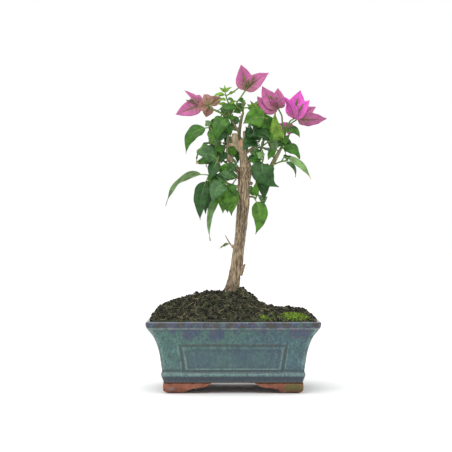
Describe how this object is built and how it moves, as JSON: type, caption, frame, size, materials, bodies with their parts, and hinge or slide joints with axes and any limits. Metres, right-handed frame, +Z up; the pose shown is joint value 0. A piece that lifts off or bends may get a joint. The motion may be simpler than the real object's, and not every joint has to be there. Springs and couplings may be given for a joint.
{
  "type": "bougainvillea bonsai in a pot",
  "caption": "Small bougainvillea bonsai with a bare leaning trunk and a loose crown of leaves and papery pink bracts, growing from mounded soil in a rectangular glazed pot on corner feet.",
  "frame": {"origin": "middle of the whole plant and pot on the ground", "axes": "+Z up; the pot's long front wall faces -Y; the trunk leans to +X"},
  "size_m": [0.1908, 0.131, 0.3457],
  "materials": {
    "glaze": "glossy mottled teal glaze with blue and brown breaks",
    "clay": "bare fired clay, matte",
    "soil": "dark loose potting mix with moss and dry roots",
    "bark": "rough grey-brown bark with long furrows",
    "leaf": "living leaves, slightly waxy",
    "bloom": "thin papery bracts"
  },
  "bodies": {
    "root": {"pot_body": "glaze", "pot_foot_front_left": "clay", "pot_foot_front_right": "clay", "pot_foot_back_left": "clay", "pot_foot_back_right": "clay", "soil": "soil", "trunk": "bark", "trunk_knot_right": "bark", "trunk_knot_left": "bark", "stub_right": "bark", "stub_left": "bark", "leader": "bark", "bough_left_top": "bark", "bough_left_upright": "bark", "bough_left_low": "bark", "bough_left_rise": "bark", "bough_left_hang": "bark", "bough_right_low": "bark", "bough_right_up": "bark", "bough_right_inner": "bark", "bough_back_left": "bark", "bough_back_right": "bark", "bough_back_low": "bark", "spur_dry_twig": "bark", "foliage_left_low": "leaf", "foliage_left_mid": "leaf", "foliage_left_hang": "leaf", "foliage_left_upright": "leaf", "foliage_right_inner": "leaf", "foliage_right_arm": "leaf", "foliage_right_low": "leaf", "foliage_right_hang": "leaf", "foliage_back_left": "leaf", "foliage_back_right": "leaf", "foliage_back_low": "leaf", "foliage_left_top": "bloom", "foliage_top": "bloom", "foliage_right_outer": "bloom"}
  },
  "joints": []
}
